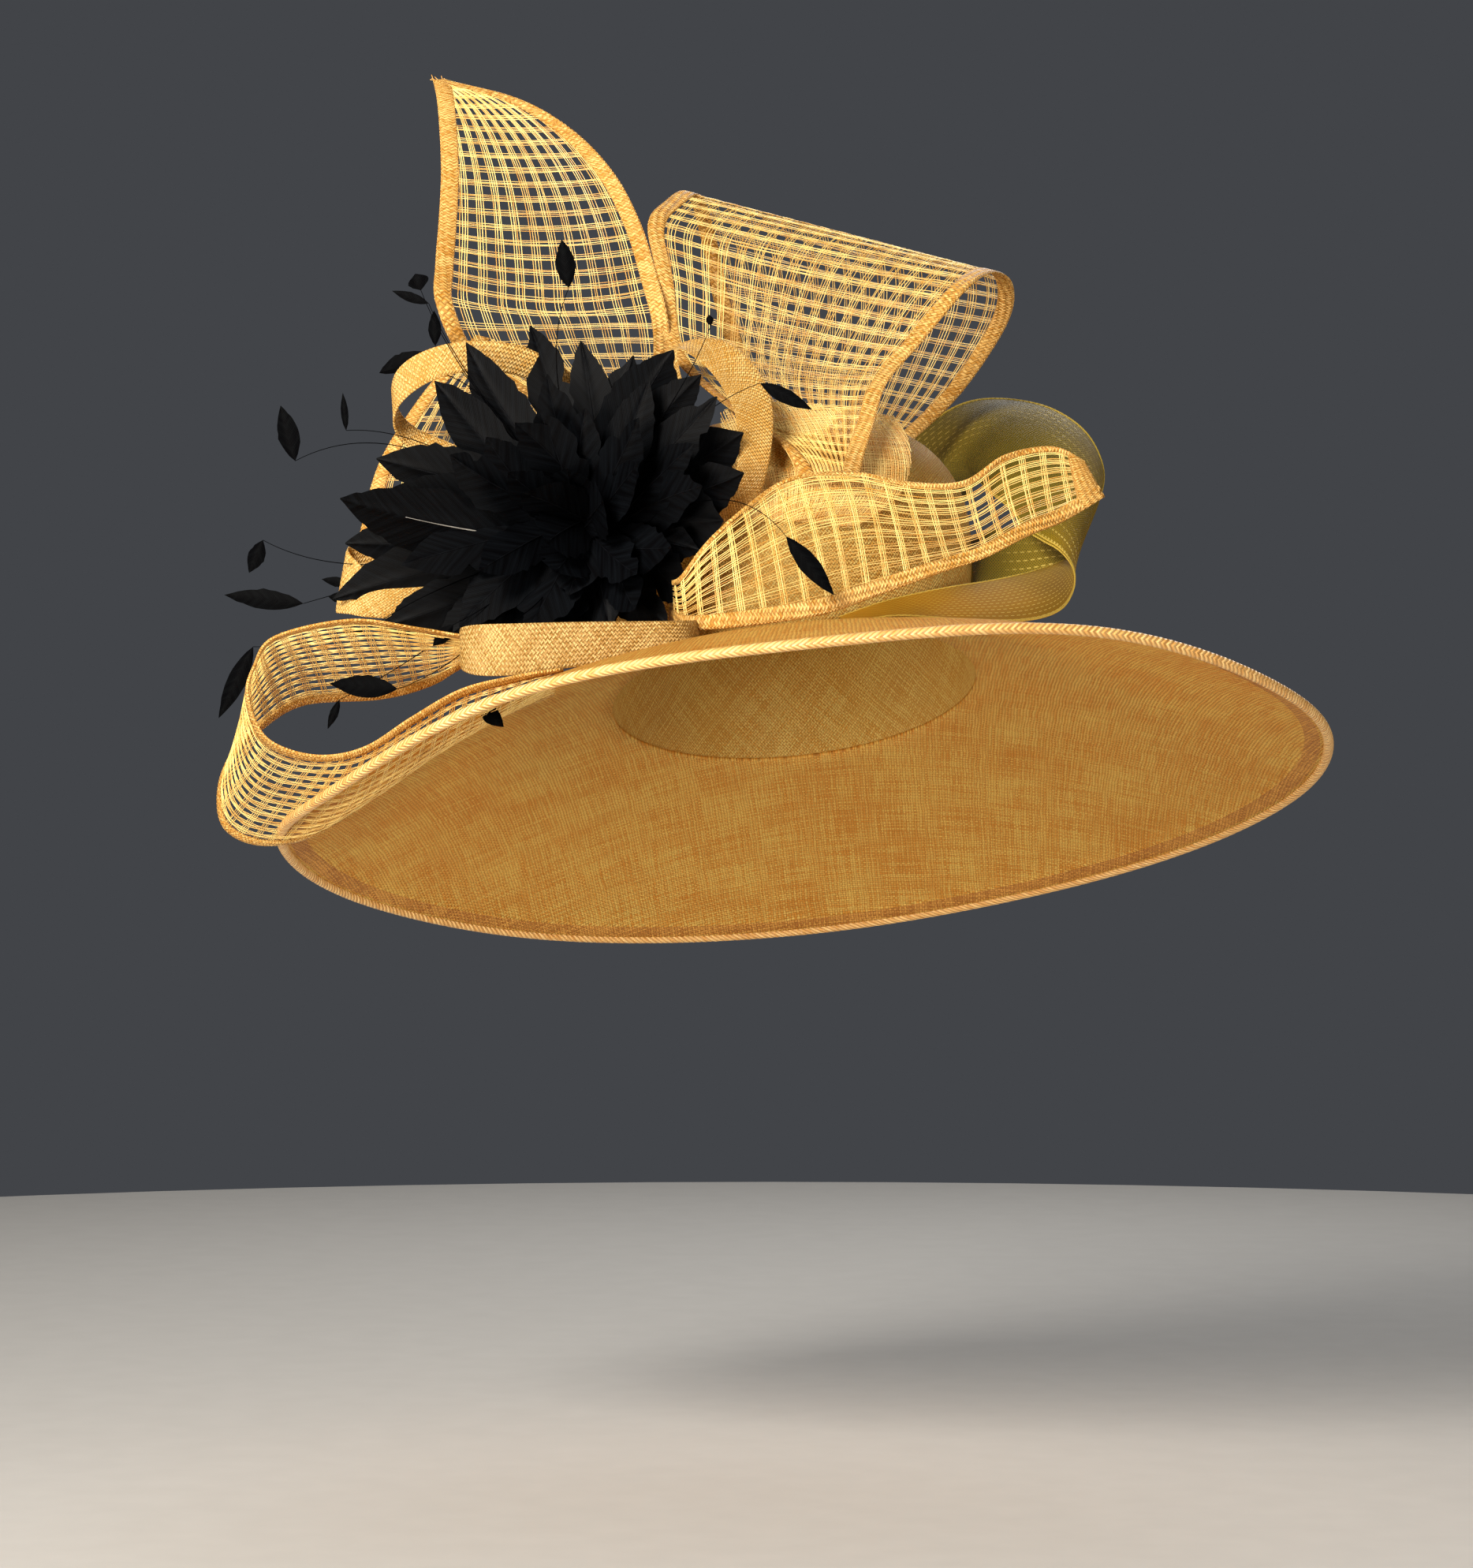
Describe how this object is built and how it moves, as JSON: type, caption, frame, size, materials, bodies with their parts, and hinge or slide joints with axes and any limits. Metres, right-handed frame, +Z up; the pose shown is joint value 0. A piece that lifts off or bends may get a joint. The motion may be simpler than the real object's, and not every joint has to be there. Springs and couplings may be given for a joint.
{
  "type": "church hat",
  "caption": "Wide-brimmed church hat of gold sinamay straw, with open-check straw loops, ribbon loops, a horsehair loop and a black feather flower.",
  "frame": {"origin": "centre of the head opening, where the brim meets the crown", "axes": "+Z up along the wearer's head, -Y the front of the hat, +X the right-hand side of a viewer in front; the hat is tilted back and to one side as worn"},
  "size_m": [0.5124, 0.4377, 0.4099],
  "materials": {
    "crown_straw": "satin",
    "brim_straw": "satin",
    "trim_straw": "satin",
    "horsehair": "gloss",
    "feather": "satin"
  },
  "bodies": {
    "root": {"crown": "crown_straw", "brim": "brim_straw", "brim_binding": "trim_straw", "upright_blade": "trim_straw", "upper_loop": "trim_straw", "right_tail": "trim_straw", "left_loop": "trim_straw", "back_left_loop": "trim_straw", "ribbon_loop_top": "trim_straw", "ribbon_loop_right": "trim_straw", "ribbon_band_lower": "trim_straw", "ribbon_loop_left": "trim_straw", "crin_loop": "horsehair", "feather_flower": "feather"}
  },
  "joints": []
}
